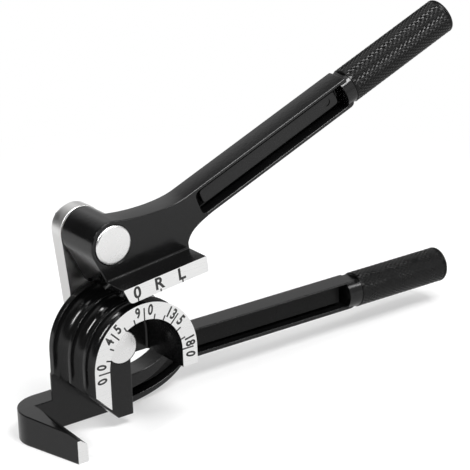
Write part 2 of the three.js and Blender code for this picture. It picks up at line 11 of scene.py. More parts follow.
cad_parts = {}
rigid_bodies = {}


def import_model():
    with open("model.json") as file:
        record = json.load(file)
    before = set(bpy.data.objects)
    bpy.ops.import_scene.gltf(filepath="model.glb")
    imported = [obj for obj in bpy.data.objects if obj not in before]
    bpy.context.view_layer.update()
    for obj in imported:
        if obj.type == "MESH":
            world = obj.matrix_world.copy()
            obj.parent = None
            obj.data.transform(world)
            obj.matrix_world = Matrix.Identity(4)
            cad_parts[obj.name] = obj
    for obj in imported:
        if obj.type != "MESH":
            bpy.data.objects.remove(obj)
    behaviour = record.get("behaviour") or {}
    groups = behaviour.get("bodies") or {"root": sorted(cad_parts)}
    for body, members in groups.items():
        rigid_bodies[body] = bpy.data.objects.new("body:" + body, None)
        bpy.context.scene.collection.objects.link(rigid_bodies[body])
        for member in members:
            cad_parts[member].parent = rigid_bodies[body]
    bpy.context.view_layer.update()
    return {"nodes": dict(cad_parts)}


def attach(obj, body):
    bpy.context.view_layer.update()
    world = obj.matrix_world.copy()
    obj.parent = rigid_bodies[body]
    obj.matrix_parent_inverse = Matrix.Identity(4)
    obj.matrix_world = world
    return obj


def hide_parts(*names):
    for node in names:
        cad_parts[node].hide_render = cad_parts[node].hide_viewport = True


for leftover in list(bpy.data.objects):
    bpy.data.objects.remove(leftover)
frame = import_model()

# Everything is drawn in millimetres round the bend axis, as the real tool is dimensioned:
# X to the 180 mark, Y from the scale face to the back, Z up. Each piece then goes to the frame.
MM = 0.001
BASE_DROP = 33.2
FORMER_WIDTH = 32
BACK_THICKNESS = 9.4
BACK_FACE = FORMER_WIDTH + BACK_THICKNESS
LOWER_AXIS_Y = FORMER_WIDTH + BACK_THICKNESS / 2
LINK_LENGTH = 44.9
LINK_LEAN = math.radians(6.3)
TO_FRAME = Matrix.Scale(MM, 4) @ Matrix.Translation((0, -LOWER_AXIS_Y, BASE_DROP))
LINK_TO_FRAME = TO_FRAME @ Matrix.Rotation(-LINK_LEAN, 4, "Y")
SHOE_TO_FRAME = LINK_TO_FRAME @ Matrix.Translation((0, 0, LINK_LENGTH))

# Grooves for 6, 8 and 10 mm tube
GROOVE_RADII = (3.2, 4.2, 5.2)
FRONT_LAND = 0.6
MIDDLE_LAND = 1.8
GROOVE_STEPS = 20
LIP_ROUND = 0.3
LIP_STEPS = 4

# Former
FORMER_RADIUS = 23.2
FORMER_BORE = 16.5
FORMER_STEPS = 72
LEFT_DROP = 8.8
RIGHT_DROP = 7.3
WEB_FACE = 24
WEB_SINK = 0.6
WEB_FILLET = 1.2
BLOCK_SETBACK = 16.8
BLOCK_RIGHT = 3.7
BLOCK_DROP = 28.9
BLOCK_LEFT = -17.25
LOWER_BOSS = 7.1
SLOPE_END = -FORMER_RADIUS + BLOCK_DROP - LEFT_DROP
PLATE_TOP_DROP = 10
ARM_TOP_DROP = 20.6
GUSSET = 2.5

# Spine and lower handle. A handle's table has distances along its axis and heights over it; top
# and bottom are the walls of its recess
FLAT_END = 4
SPINE_BEND = 5
SPINE_TOP_START = 10
SPINE_TOP_END = 46
SPINE_TOP_PULL = 22
SPINE_TOP_END_PULL = 15.5
SPINE_TOP_DIP = 0.4
SPINE_BOTTOM = ((19.8, -32.6), (32.1, -29.5), (38.5, -22.2))
SPINE_RECESS = ((8.8, -29.9), (22.9, -29.5), (30.8, -26.4), (37.8, -22.4))
SPINE_RECESS_TOP = ((33, -25.5), (8.8, -26.8))
SPINE_RECESS_PULL = 13
SPINE_REACH = 44
LOWER = {"angle": -0.48, "drop": 15.5, "height": 12, "top": 5.2, "bottom": -4.3,
         "beam": 125, "neck": 121, "grip": 128.6, "end": 173,
         "front": FORMER_WIDTH, "recess": 5.6, "panel": 2.8, "axis_y": LOWER_AXIS_Y}
LOWER_PANEL = ((18, -27.3), (27, -26.9), (31.5, -24.3), (38.4, -20.9))
LOWER_PANEL_TOP = ((33, -24.8), (17.2, -24.8))
LOWER_PANEL_MARGIN = 1.3

# Hook
HOOK_END_WIDTH = 4.4
HOOK_END_HEIGHT = 9
HOOK_FRONT_GAP = 5
HOOK_BACK_GAP = 7.7
HOOK_LAP = 2
HOOK_LEAN = math.radians(13)
HOOK_CORNER = 12.5
HOOK_CREST_DROP = 1
HOOK_NOSE = 3.5
HOOK_CHAMFER_SHARE = 0.54
HOOK_CHAMFER_DROP = 1.7

# Shoe handle
SHOE_FACE = 11.2
UPPER_THICKNESS = 10.3
UPPER = {"angle": 15.2, "drop": 8.75, "height": 12.8, "top": 5.2, "bottom": -5,
         "beam": 118.6, "neck": 115.5, "grip": 121.4, "end": 172.9,
         "front": SHOE_FACE, "recess": 6, "panel": 3, "axis_y": SHOE_FACE + UPPER_THICKNESS / 2}
UPPER_RECESS_START = 39
RECESS_ROUND = 2.8
SHOE_BOSS = 9.4
SHOE_GAP = 1.75
SHOE_HEIGHT = 6.4
SHOE_START = 2.9
SHOE_END = 33
SHOE_DEPTH = FORMER_WIDTH - 1.2
SHOE_CORNER = 1.6
SHOE_BOTTOM = FORMER_RADIUS + SHOE_GAP - LINK_LENGTH
SHOE_TOP = SHOE_BOTTOM + SHOE_HEIGHT
SHOE_FILLET = 0.8
NECK_BLOCK_END = 8.5
TOP_CURVE_END = 36
TOP_PULL = 9.2
RIGHT_LEAN = 1.6
RIGHT_CURVE = 8.5
RIGHT_CURVE_RISE = 2
PANEL_LEAD = 3.5
PANEL_ROUND = 1.6
DIMPLE = {"radius": 1.6, "depth": 0.3, "setback": 10.2, "rise": 0.6}

# Round boss, and in degrees the part of it that the front's outline follows, from shoe to beam
BOSS_STEPS = 96
BOSS_WRAP = 34
LEFT_TOUCH = 201.25
RIGHT_TOUCH = LEFT_TOUCH - BOSS_WRAP * 360 / BOSS_STEPS

# Both handles
BEAM_CORNER = 2.4
BEAM_TOP_CORNER = 0.9
NECK_RADIUS = 6.95
PANEL_MARGIN = 2.1
GRIP_RADIUS = 7.35
GRIP_END_ROUND = 1.2

# Pins and what they carry, from the shim behind the castings to the pin's tail
PIN_RADIUS = 4.8
PIN_FIT = 0.15
BORE_RADIUS = PIN_RADIUS + PIN_FIT
PIN_TAIL = 1.4
FORMER_HEAD = {"face": BLOCK_SETBACK, "radius": 6.6, "height": 3, "proud": 0.15, "edge": 0.35}
SHOE_HEAD = {"face": SHOE_FACE, "radius": 7.8, "height": 3.4, "proud": 0.7, "edge": 0.9}
HEAD_EDGE_SPREAD = 1.3
SEAT_EDGE = 0.2
CLIP_GROOVE = 0.7
CLIP_THICKNESS = 1
WAVE_WASHER_ROOM = 1.2
SHIM = {"radius": 8.6, "front": FORMER_WIDTH + PIN_FIT, "thickness": 0.5}
LINK_THICKNESS = 6.4
LINK_FRONT = SHIM["front"] + SHIM["thickness"] + PIN_FIT
LINK_BACK = LINK_FRONT + LINK_THICKNESS
LINK_HALF_WIDTH = 9.6
LINK_EDGE = 0.4
WASHER = {"radius": 8.2, "front": LINK_BACK + WAVE_WASHER_ROOM, "thickness": 1}
CLIP_FRONT = WASHER["front"] + WASHER["thickness"] + PIN_FIT
CLIP_BACK = CLIP_FRONT + CLIP_THICKNESS

# Knurl and roll pins
KNURL_ROUND = 31
KNURL_PITCH = 2.5
KNURL_DEPTH = 0.24
KNURL_MARGIN = 0.3
GRIP_LEAD = 1.2
ROLL_PIN_HOLE = 1.62
ROLL_PIN_SETBACK = 12

# Marks stamped on the ground faces
SCALE_DEGREES = (0, 45, 90, 135, 180)
SHORT_DEGREES = (15, 30, 60, 75, 105, 120, 150, 165)
DIGIT = {"height": 4.4, "width_share": 0.77, "bold": 0.034}
DIGIT_RING = 20.3
DIGIT_PITCH = 2.4
DIGIT_GAP = 2.85
LONG_TICK = 5
SHORT_TICK = 2
TICK_WIDTH = 0.6
INK_THICKNESS = 0.03
SHOE_LETTERS = {"0": 0.6, "R": 10.9, "L": 21}
LETTER = {"height": 4.9, "width_share": 1.02, "bold": 0.03}
LETTER_FOOT = 1.2
SHOE_TICK = 1.2

# Tool marks in the bright finishes
GRIND_LEAN = 0.3
GRIND_STRETCH = 0.03
LATHE_PITCH = 0.28

# Roundings and their steps
CROWN = 0.22
CROWN_START = 7
CAST_EDGE = 0.45
RIM_EDGE = 0.35
RECESS_FILLET = 0.6
SHARP = math.radians(32)
EDGE_STEPS = 4
CORNER_STEPS = 6
CURVE_STEPS = 24
ROUND_STEPS = 96

# How far a cutter reaches past a piece, and how far joined pieces sink into each other
OVERRUN = 2
SINK = 0.4
FACE_SINK = 1

# Points nearer than this are one: in a new shape, after a cut, and before long edges are rounded
SAME_POINT = 0.0005
CUT_CRUMB = 0.002
NEAR = 0.1
ONE_PLANE = math.radians(0.1)
FACING_FRONT = -0.99

# Camera at the photograph's viewing angle
CAMERA_PLACE = (-0.4938, -0.7989, 0.4308)
CAMERA_AZIMUTH, CAMERA_ELEVATION, CAMERA_ROLL = (math.radians(a) for a in (35.145, 21.0, -2.215))
CAMERA_LENS, CAMERA_SENSOR = 201.55, 36
CAMERA_CLIP = (0.05, 20)


class Outline:
    """A closed X-Z outline, drawn as a pen would."""

    def __init__(self, x, z):
        self.points = [Vector((x, z))]

    def line(self, *places):
        self.points += [Vector(place) for place in places]
        return self

    def cubic(self, pull_a, pull_b, end, steps=CURVE_STEPS):
        curve = interpolate_bezier(self.points[-1], Vector(pull_a), Vector(pull_b), Vector(end), steps)
        self.points += curve[1:]
        return self

    def quad(self, pull, end, steps=CORNER_STEPS):
        start, pull, end = self.points[-1], Vector(pull), Vector(end)
        return self.cubic(start.lerp(pull, 2 / 3), end.lerp(pull, 2 / 3), end, steps)

    def arc(self, centre, radius, start, end, steps):
        for i in range(steps + 1):
            angle = math.radians(start + (end - start) * i / steps)
            self.points.append(Vector(centre) + radius * Vector((math.cos(angle), math.sin(angle))))
        return self


def only(kind, geom):
    return [item for item in geom if isinstance(item, kind)]


def swept(bm, face, way):
    """Extrudes one face by a vector and returns the face at the far end."""
    far = bmesh.ops.extrude_face_region(bm, geom=[face])["geom"]
    bmesh.ops.translate(bm, vec=way, verts=only(BMVert, far))
    return only(BMFace, far)[0]


@contextmanager
def edited(thing):
    """The bmesh of an object, written back after the work on it."""
    bm = bmesh.new()
    bm.from_mesh(thing.data)
    yield bm
    bm.to_mesh(thing.data)
    bm.free()


def linked(name, data):
    """An object in the scene for a mesh, curve, camera or light."""
    thing = bpy.data.objects.new(name, data)
    bpy.context.scene.collection.objects.link(thing)
    return thing


def solid(name, bm):
    """An object of a closed bmesh, with its faces pointing out."""
    bmesh.ops.remove_doubles(bm, verts=bm.verts, dist=SAME_POINT)
    bmesh.ops.recalc_face_normals(bm, faces=bm.faces)
    mesh = bpy.data.meshes.new(name)
    bm.to_mesh(mesh)
    bm.free()
    return linked(name, mesh)


def prism(name, places, way):
    """A solid swept by a vector, from the face through some places."""
    bm = bmesh.new()
    swept(bm, bm.faces.new([bm.verts.new(place) for place in places]), way)
    return solid(name, bm)


def plate(name, outline, front, back):
    """A plate with an X-Z outline, from one depth to another."""
    return prism(name, [(p.x, front, p.y) for p in outline.points], (0, back - front, 0))


def post(name, plan, bottom, top):
    """A block with an X-Y plan, from one height to another."""
    return prism(name, [(p.x, p.y, bottom) for p in plan.points], (0, 0, top - bottom))


def turned(name, profile, steps=ROUND_STEPS, place=Matrix.Identity(4)):
    """A solid of revolution round the Y axis, from a list of (radius, depth) pairs."""
    bm = bmesh.new()
    verts = [bm.verts.new((radius, depth, 0)) for radius, depth in profile]
    edges = [bm.edges.new(pair) for pair in zip(verts, verts[1:])]
    if profile[0][0] > 0:
        edges.append(bm.edges.new((verts[-1], verts[0])))
    bmesh.ops.spin(bm, geom=verts + edges, cent=(0, 0, 0), axis=(0, 1, 0), angle=2 * math.pi,
                   steps=steps, use_merge=True)
    bmesh.ops.transform(bm, matrix=place, verts=bm.verts)
    return solid(name, bm)


def rod(name, radius, front, back, steps=ROUND_STEPS, place=Matrix.Identity(4)):
    """A round bar along the Y axis, from one depth to another."""
    return turned(name, [(0, front), (radius, front), (radius, back), (0, back)], steps, place)


def quarter_turn(steps):
    """(Cosine, sine) pairs over a quarter of a circle."""
    turns = [math.pi / 2 * i / steps for i in range(steps + 1)]
    return [(math.cos(turn), math.sin(turn)) for turn in turns]


def quarter(radius, depth, width, rise):
    """Quarter round in a profile, from a face at one depth out to the radius."""
    return [(radius - width + width * s, depth + rise - rise * c)
            for c, s in quarter_turn(CORNER_STEPS)]


def along_handle(handle):
    """From a piece turned round Y, with its length along Y, to its place along a handle."""
    lay = Matrix.Rotation(-math.pi / 2, 4, "Z")
    place = Matrix.Translation((0, handle["axis_y"], -handle["drop"]))
    return Matrix.Rotation(-math.radians(handle["angle"]), 4, "Y") @ place @ lay


def handle_point(handle):
    """Maker of X-Z points from a distance along a handle and a height over its axis."""
    angle = math.radians(handle["angle"])
    turn = Matrix(((math.cos(angle), -math.sin(angle)), (math.sin(angle), math.cos(angle))))
    return lambda distance, height: turn @ Vector((distance, height - handle["drop"]))


on_lower = handle_point(LOWER)
on_upper = handle_point(UPPER)


def settled(thing):
    """Mesh of an object with its modifiers applied, or of a text."""
    shape = thing.evaluated_get(bpy.context.evaluated_depsgraph_get())
    return bpy.data.meshes.new_from_object(shape)


def combine(base, others, operation):
    """Joins other solids to the base, or cuts them from it, and removes them."""
    for other in others:
        step = base.modifiers.new(operation, "BOOLEAN")
        step.operation, step.object, step.solver = operation, other, "EXACT"
        base.data = settled(base)
        base.modifiers.clear()
        bpy.data.objects.remove(other)
        with edited(base) as bm:
            bmesh.ops.remove_doubles(bm, verts=bm.verts, dist=CUT_CRUMB)
            bmesh.ops.dissolve_degenerate(bm, dist=CUT_CRUMB, edges=bm.edges)
    return base


def flattened(thing):
    """Joins faces that lie in one plane, and points that nearly meet, so that a rounding runs along
    whole edges."""
    with edited(thing) as bm:
        bmesh.ops.dissolve_limit(bm, angle_limit=ONE_PLANE, verts=bm.verts, edges=bm.edges)
        bmesh.ops.remove_doubles(bm, verts=bm.verts, dist=NEAR)


def crowned(thing, depth, rise):
    """Swells the walls of a plate at one depth, by a rise that a function gives for each place."""
    with edited(thing) as bm:
        ring = bmesh.ops.bisect_plane(bm, geom=[*bm.verts, *bm.edges, *bm.faces],
                                      plane_co=(0, depth, 0), plane_no=(0, 1, 0))["geom_cut"]
        bm.normal_update()
        for vert in only(BMVert, ring):
            vert.co += vert.normal * rise(vert.co)


def eased(thing, width, pick):
    """Rounds the sharp edges that pick chooses by their middle and by whether they stick out."""
    with edited(thing) as bm:
        chosen = []
        for edge in bm.edges:
            middle = (edge.verts[0].co + edge.verts[1].co) / 2
            if edge.is_manifold and edge.calc_face_angle(0) > SHARP and pick(middle, edge.is_convex):
                chosen.append(edge)
        bmesh.ops.bevel(bm, geom=chosen, offset=width, offset_type="OFFSET", segments=EDGE_STEPS,
                        profile=0.5, affect="EDGES", material=-1)
    return thing


def smooth(thing):
    """Smooth shading that keeps sharp edges sharp and flat faces flat."""
    with edited(thing) as bm:
        for face in bm.faces:
            face.smooth = True
        for edge in bm.edges:
            edge.smooth = edge.is_manifold and edge.calc_face_angle(0) < SHARP
    step = thing.modifiers.new("flat faces", "WEIGHTED_NORMAL")
    step.keep_sharp, step.weight = True, 100
    return thing


def dressed(thing, place, body, materials, nodes=()):
    """Puts a finished piece in the frame, gives it its body and finishes, and hides the CAD nodes that
    it replaces.
    """
    thing.data.transform(place)
    for material in materials:
        thing.data.materials.append(material)
    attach(thing, body)
    if nodes:
        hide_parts(*nodes)


def head_seat(head):
    """Cutter of the counterbore for a pin head, with a small chamfer at its mouth."""
    radius, face = head["radius"] + PIN_FIT, head["face"]
    depth, mouth = face + head["height"] - head["proud"], radius + SEAT_EDGE
    return turned("seat", [(0, face - OVERRUN), (mouth, face - OVERRUN), (mouth, face),
                           (radius, face + SEAT_EDGE), (radius, depth), (0, depth)])


def faced(thing, depth, index):
    """Gives the flat front faces at one depth another of the piece's finishes."""
    for face in thing.data.polygons:
        if abs(face.center.y - depth) < SINK / 2 and face.normal.y < FACING_FRONT:
            face.material_index = index


def groove_centres():
    """Depths of the middles of the three grooves, from the scale face on."""
    centres, reached = [], FRONT_LAND
    for radius in GROOVE_RADII:
        centres.append(reached + radius)
        reached += 2 * radius + MIDDLE_LAND
    return centres


def former_section():
    """Section of the arch, as (radius, depth) pairs, with a round lip on each side of a groove."""
    pairs = [(FORMER_BORE, 0), (FORMER_RADIUS, 0)]
    for radius, centre in zip(GROOVE_RADII, groove_centres()):
        half = [(FORMER_RADIUS - LIP_ROUND + LIP_ROUND * c, radius + LIP_ROUND - LIP_ROUND * s)
                for c, s in quarter_turn(LIP_STEPS)]
        for c, s in quarter_turn(GROOVE_STEPS // 2)[1:]:
            if FORMER_RADIUS - radius * s < half[-1][0]:
                half.append((FORMER_RADIUS - radius * s, radius * c))
        pairs += [(r, centre - y) for r, y in half[:-1]]
        pairs += [(r, centre + y) for r, y in reversed(half)]
    return pairs + [(FORMER_RADIUS, FORMER_WIDTH), (FORMER_BORE, FORMER_WIDTH)]


def arched(name, section):
    """A section of (radius, depth) pairs, carried up the right leg, over, and down the left one."""
    bm = bmesh.new()
    foot = bm.faces.new([bm.verts.new((r, y, -RIGHT_DROP)) for r, y in section])
    top = swept(bm, foot, (0, 0, RIGHT_DROP))
    turn = bmesh.ops.spin(bm, geom=[top, *top.edges, *top.verts], cent=(0, 0, 0), axis=(0, 1, 0),
                          angle=-math.pi, steps=FORMER_STEPS)
    last = only(BMFace, turn["geom_last"])[0]
    end = swept(bm, last, (0, 0, -LEFT_DROP))
    for vert in end.verts:
        vert.co.z = -LEFT_DROP - (vert.co.x + FORMER_RADIUS)
    bmesh.ops.delete(bm, geom=[f for f in (top, last) if f.is_valid], context="FACES_ONLY")
    return solid(name, bm)


def fillet_section(radius, along, across):
    """Section of a bar that fills a corner with a hollow round, sunk a little in both walls."""
    hollow = [(along - radius + radius * c, across - radius + radius * s)
              for c, s in quarter_turn(GROOVE_STEPS // 2)]
    return [(along + SINK, across + SINK), (along + SINK, across - radius), *hollow,
            (along - radius, across + SINK)]


def former_web():
    """Wall that closes the arch in front of the link."""
    left = -FORMER_BORE - WEB_SINK
    outline = Outline(left, -LEFT_DROP - (left + FORMER_RADIUS)).line((left, 0))
    outline.arc((0, 0), -left, 180, 0, FORMER_STEPS)
    outline.line((-left, -RIGHT_DROP), (BLOCK_RIGHT, -RIGHT_DROP), (BLOCK_RIGHT, -BLOCK_DROP),
                 (SLOPE_END, -BLOCK_DROP))
    return plate("web", outline, WEB_FACE, FORMER_WIDTH)


def former_block():
    """Block that carries the lower pin, with its round boss."""
    side = math.degrees(math.acos(BLOCK_RIGHT / LOWER_BOSS))
    outline = Outline(BLOCK_LEFT, 0).line(
        (BLOCK_LEFT, -LEFT_DROP - (BLOCK_LEFT + FORMER_RADIUS)), (SLOPE_END, -BLOCK_DROP),
        (BLOCK_RIGHT, -BLOCK_DROP)).arc((0, 0), LOWER_BOSS, -side, 180, 2 * CURVE_STEPS)
    block = plate("block", outline, BLOCK_SETBACK, FORMER_WIDTH)
    return eased(block, CAST_EDGE, lambda middle, convex: convex and middle.y < BLOCK_SETBACK + SINK)


def beam_end(outline, point, reach, height):
    """The rounded end of a beam, from its lower edge to its upper edge."""
    half, r = height / 2, BEAM_CORNER
    outline.line(point(reach - r, -half)).quad(point(reach, -half), point(reach, r - half))
    r = BEAM_TOP_CORNER
    outline.line(point(reach, half - r)).quad(point(reach, half), point(reach - r, half))


def back_plate():
    """Back plate, hook, spine and lower handle in one, with the long recess in front."""
    half = LOWER["height"] / 2
    left = -FORMER_RADIUS - HOOK_LAP
    outline = Outline(left, -BASE_DROP).line((FLAT_END, -BASE_DROP))
    outline.cubic(*SPINE_BOTTOM)
    low = SPINE_BOTTOM[-1][0]
    outline.quad(on_lower(low + SPINE_BEND / 4, -half), on_lower(low + SPINE_BEND, -half))
    beam_end(outline, on_lower, LOWER["beam"], LOWER["height"])
    end = on_lower(SPINE_TOP_END, half)
    outline.line(end).cubic((end.x - SPINE_TOP_END_PULL, end.y),
                            (SPINE_TOP_START + SPINE_TOP_PULL, -ARM_TOP_DROP - SPINE_TOP_DIP),
                            (SPINE_TOP_START, -ARM_TOP_DROP))
    outline.line((BLOCK_RIGHT, -ARM_TOP_DROP), (BLOCK_RIGHT, -PLATE_TOP_DROP),
                 (-FORMER_BORE, -PLATE_TOP_DROP), (-FORMER_BORE, -ARM_TOP_DROP), (left, -ARM_TOP_DROP))
    back = combine(plate("back", outline, FORMER_WIDTH, BACK_FACE), [hook()], "UNION")
    flattened(back)

    def outer(middle, convex):
        on_block = (middle.y < BACK_FACE - SINK and abs(middle.x) < FORMER_BORE + SINK
                    and middle.z > SINK - ARM_TOP_DROP)
        return convex and middle.y > SINK and not on_block
    eased(back, CAST_EDGE, outer)
    combine(back, [lower_recess()], "DIFFERENCE")
    eased(back, RECESS_FILLET, lambda middle, convex: not convex and middle.x > BLOCK_RIGHT + SINK
          and middle.y > FORMER_WIDTH + SINK)
    eased(back, RIM_EDGE, lambda middle, convex: convex and middle.y < FORMER_WIDTH + SINK / 2
          and middle.x > BLOCK_RIGHT + SINK)
    return combine(back, [lower_panel()], "UNION")


def hook():
    """Hook that holds the tube: a wall that leans in, low at its end, with a bevelled inner top."""
    inner_front = -FORMER_RADIUS - HOOK_FRONT_GAP
    inner_back = -FORMER_RADIUS - HOOK_BACK_GAP
    outer_front = inner_front - HOOK_END_WIDTH
    centre_y = BACK_FACE - HOOK_CORNER
    centre_x = outer_front + (HOOK_CORNER - centre_y * math.sin(HOOK_LEAN)) / math.cos(HOOK_LEAN)
    plan = Outline(inner_front, 0).line((inner_back, FORMER_WIDTH), (-FORMER_RADIUS, FORMER_WIDTH),
                                        (-FORMER_RADIUS, BACK_FACE))
    plan.arc((centre_x, centre_y), HOOK_CORNER, 90, 180 + math.degrees(HOOK_LEAN), CURVE_STEPS)
    plan.line((outer_front, 0))
    body = post("hook", plan, -BASE_DROP, -ARM_TOP_DROP)

    end_top, crest = HOOK_END_HEIGHT - BASE_DROP, -ARM_TOP_DROP - HOOK_CREST_DROP
    above = -ARM_TOP_DROP + OVERRUN
    side = Outline(-OVERRUN, end_top).line((0, end_top))
    side.quad((0, crest), (HOOK_NOSE, crest), CURVE_STEPS // 2)
    side.line((FORMER_WIDTH, -ARM_TOP_DROP), (FORMER_WIDTH, above), (-OVERRUN, above))
    over = plate("over", side, -BACK_FACE, BACK_FACE)
    over.data.transform(Matrix.Rotation(math.pi / 2, 4, "Z"))

    a = Vector((inner_back, FORMER_WIDTH, -ARM_TOP_DROP))
    b = Vector((inner_front - HOOK_END_WIDTH * HOOK_CHAMFER_SHARE, 0, end_top))
    c = Vector((inner_front, 0, end_top - HOOK_CHAMFER_DROP))
    normal = (b - a).cross(c - a)
    bm = bmesh.new()
    for x in (-BACK_FACE - FORMER_RADIUS, inner_front + OVERRUN):
        for y in (-OVERRUN, FORMER_WIDTH):
            level = a.z - (normal.x * (x - a.x) + normal.y * (y - a.y)) / normal.z
            for lift in (0, BASE_DROP):
                bm.verts.new((x, y, level + lift))
    bmesh.ops.convex_hull(bm, input=bm.verts)
    return combine(body, [over, solid("chamfer", bm)], "DIFFERENCE")


def gusset():
    """Hollow corner behind the former's left leg."""
    plan = Outline(-FORMER_BORE, FORMER_WIDTH).line((-FORMER_RADIUS, FORMER_WIDTH))
    plan.arc((-FORMER_RADIUS + GUSSET, FORMER_WIDTH), GUSSET, 180, 90, CURVE_STEPS)
    plan.line((-FORMER_BORE, FORMER_WIDTH + GUSSET))
    return post("gusset", plan, -ARM_TOP_DROP - OVERRUN, -PLATE_TOP_DROP)


def lower_inset(low_curve, top_curve, bottom, top, reach):
    """Outline within the spine and the lower handle, for the recess and for its panel."""
    outline = Outline(*low_curve[0]).cubic(*low_curve[1:])
    outline.line(on_lower(SPINE_REACH, bottom), on_lower(reach, bottom), on_lower(reach, top))
    end = on_lower(SPINE_TOP_END, top)
    return outline.line(end).cubic((end.x - SPINE_RECESS_PULL, end.y), *top_curve)


def lower_recess():
    """Cutter of the long recess in the spine and the lower handle."""
    outline = lower_inset(SPINE_RECESS, SPINE_RECESS_TOP, LOWER["bottom"], LOWER["top"], LOWER["neck"])
    return plate("recess", outline, FORMER_WIDTH - OVERRUN, FORMER_WIDTH + LOWER["recess"])


def panel(outline, handle):
    """Flat panel that stands up from the floor of a handle's recess."""
    front = handle["front"] + handle["panel"]
    thing = plate("panel", outline, front, handle["front"] + handle["recess"] + SINK)
    return eased(thing, RIM_EDGE, lambda middle, convex: convex and middle.y < front + SINK / 2)


def lower_panel():
    """Panel of the lower recess, which merges with its top wall."""
    return panel(lower_inset(LOWER_PANEL, LOWER_PANEL_TOP, LOWER["bottom"] + LOWER_PANEL_MARGIN,
                             LOWER["top"] + SINK / 2, LOWER["neck"] - PANEL_MARGIN), LOWER)


def neck(handle):
    """Round neck between beam and grip, flat on top, and inside the beam also flat below."""
    start, end, flat = handle["neck"] - SINK / 4, handle["grip"], handle["height"] / 2 - SINK / 2
    body = rod("neck", NECK_RADIUS, start, end)
    sides = []
    for way, shoulder in ((-1, handle["beam"] - BEAM_CORNER / 2), (1, end + OVERRUN)):
        plan = Outline(-NECK_RADIUS, start - OVERRUN).line((NECK_RADIUS, start - OVERRUN))
        plan.line((NECK_RADIUS, shoulder), (-NECK_RADIUS, shoulder))
        sides.append(post("side", plan, flat * way, (NECK_RADIUS + OVERRUN) * way))
    combine(body, sides, "DIFFERENCE")
    body.data.transform(along_handle(handle))
    return body


def former_casting(materials):
    casting = arched("former_casting", former_section())
    fillet = arched("fillet", fillet_section(WEB_FILLET, FORMER_BORE, WEB_FACE))
    combine(casting, [former_web(), fillet, former_block(), back_plate(), gusset()], "UNION")
    bore = rod("bore", BORE_RADIUS, BLOCK_SETBACK, BACK_FACE)
    combine(casting, [head_seat(FORMER_HEAD), bore], "DIFFERENCE")
    combine(casting, [neck(LOWER)], "UNION")
    faced(casting, 0, 1)
    # The lower panel's front takes the dull coat, whose dimmed reflections are painted shade in the
    # recess.
    faced(casting, LOWER["front"] + LOWER["panel"], 2)
    dressed(smooth(casting), TO_FRAME, "former", materials, ["former_handle"])


def shoe_slope(height):
    """X of the shoe's left slope, from its touch on the boss down to the foot."""
    angle = math.radians(LEFT_TOUCH)
    boss = SHOE_BOSS * Vector((math.cos(angle), math.sin(angle)))
    return boss.lerp(Vector((-SHOE_START, SHOE_BOTTOM)), (boss.y - height) / (boss.y - SHOE_BOTTOM)).x


def shoe_web():
    """Front part of the shoe handle in one outline: neck, boss and handle, with its recess."""
    half = UPPER["height"] / 2
    angle = math.radians(RIGHT_TOUCH)
    touch = SHOE_BOSS * Vector((math.cos(angle), math.sin(angle)))
    low = SHOE_BOTTOM + SHOE_HEIGHT / 2
    outline = Outline(SHOE_END, low).line((shoe_slope(low), low))
    outline.arc((0, 0), SHOE_BOSS, LEFT_TOUCH, RIGHT_TOUCH, BOSS_WRAP)
    join = on_upper(TOP_CURVE_END, half)
    along = on_upper(1, 0) - on_upper(0, 0)
    tangent = Vector((touch.y, -touch.x))
    outline.cubic(touch + TOP_PULL / SHOE_BOSS * tangent, join - TOP_PULL * along, join)
    reach, r = UPPER["beam"], BEAM_TOP_CORNER
    outline.line(on_upper(reach - r, half)).quad(on_upper(reach, half), on_upper(reach, half - r))
    r = BEAM_CORNER
    outline.line(on_upper(reach, r - half)).quad(on_upper(reach, -half), on_upper(reach - r, -half))
    right_top = SHOE_END + RIGHT_LEAN
    bend = on_upper(right_top, -half)
    outline.line(on_upper(right_top + RIGHT_CURVE, -half))
    outline.cubic((bend.x + RIGHT_LEAN, bend.y), (right_top, bend.y - RIGHT_LEAN),
                  (SHOE_END, SHOE_TOP + RIGHT_CURVE_RISE))
    back = SHOE_FACE + UPPER_THICKNESS
    web = plate("shoe_casting", outline, SHOE_FACE, back)

    def swell(place):
        return CROWN * min(1, max(0, place.x - touch.x) / CROWN_START) if place.z > low + SINK else 0
    crowned(web, UPPER["axis_y"], swell)

    def outer(middle, convex):
        in_shoe = middle.z < low + SINK
        on_boss = middle.y > SHOE_FACE + SINK and middle.x < touch.x + SINK
        return convex and not in_shoe and not on_boss
    eased(web, CAST_EDGE, outer)
    combine(web, [upper_recess()], "DIFFERENCE")
    eased(web, RECESS_FILLET,
          lambda middle, convex: not convex and SHOE_FACE + SINK < middle.y < back - SINK)
    eased(web, RIM_EDGE, lambda middle, convex: convex and middle.y < SHOE_FACE + SINK / 2
          and middle.x > SHOE_END + OVERRUN)
    combine(web, [upper_panel()], "UNION")
    return combine(web, [dimple()], "DIFFERENCE")


def dimple():
    """Cutter of the shallow round mark on the upper panel."""
    front = UPPER["front"] + UPPER["panel"]
    middle = on_upper(UPPER["beam"] - DIMPLE["setback"], DIMPLE["rise"])
    return rod("dimple", DIMPLE["radius"], front - OVERRUN, front + DIMPLE["depth"],
               place=Matrix.Translation((middle.x, 0, middle.y)))


def shoe_block():
    """The shoe itself, as deep as the former, with the slope on its left."""
    low = SHOE_BOTTOM + SHOE_CORNER
    outline = Outline(shoe_slope(SHOE_TOP), SHOE_TOP).line((shoe_slope(low), low))
    outline.quad((-SHOE_START, SHOE_BOTTOM), (SHOE_CORNER - SHOE_START, SHOE_BOTTOM))
    outline.line((SHOE_END, SHOE_BOTTOM), (SHOE_END, SHOE_TOP))
    return eased(plate("shoe", outline, 0, SHOE_DEPTH), CAST_EDGE, lambda middle, convex: convex
                 and middle.y > SINK and (middle.y < SHOE_DEPTH - SINK or middle.x > SHOE_START))


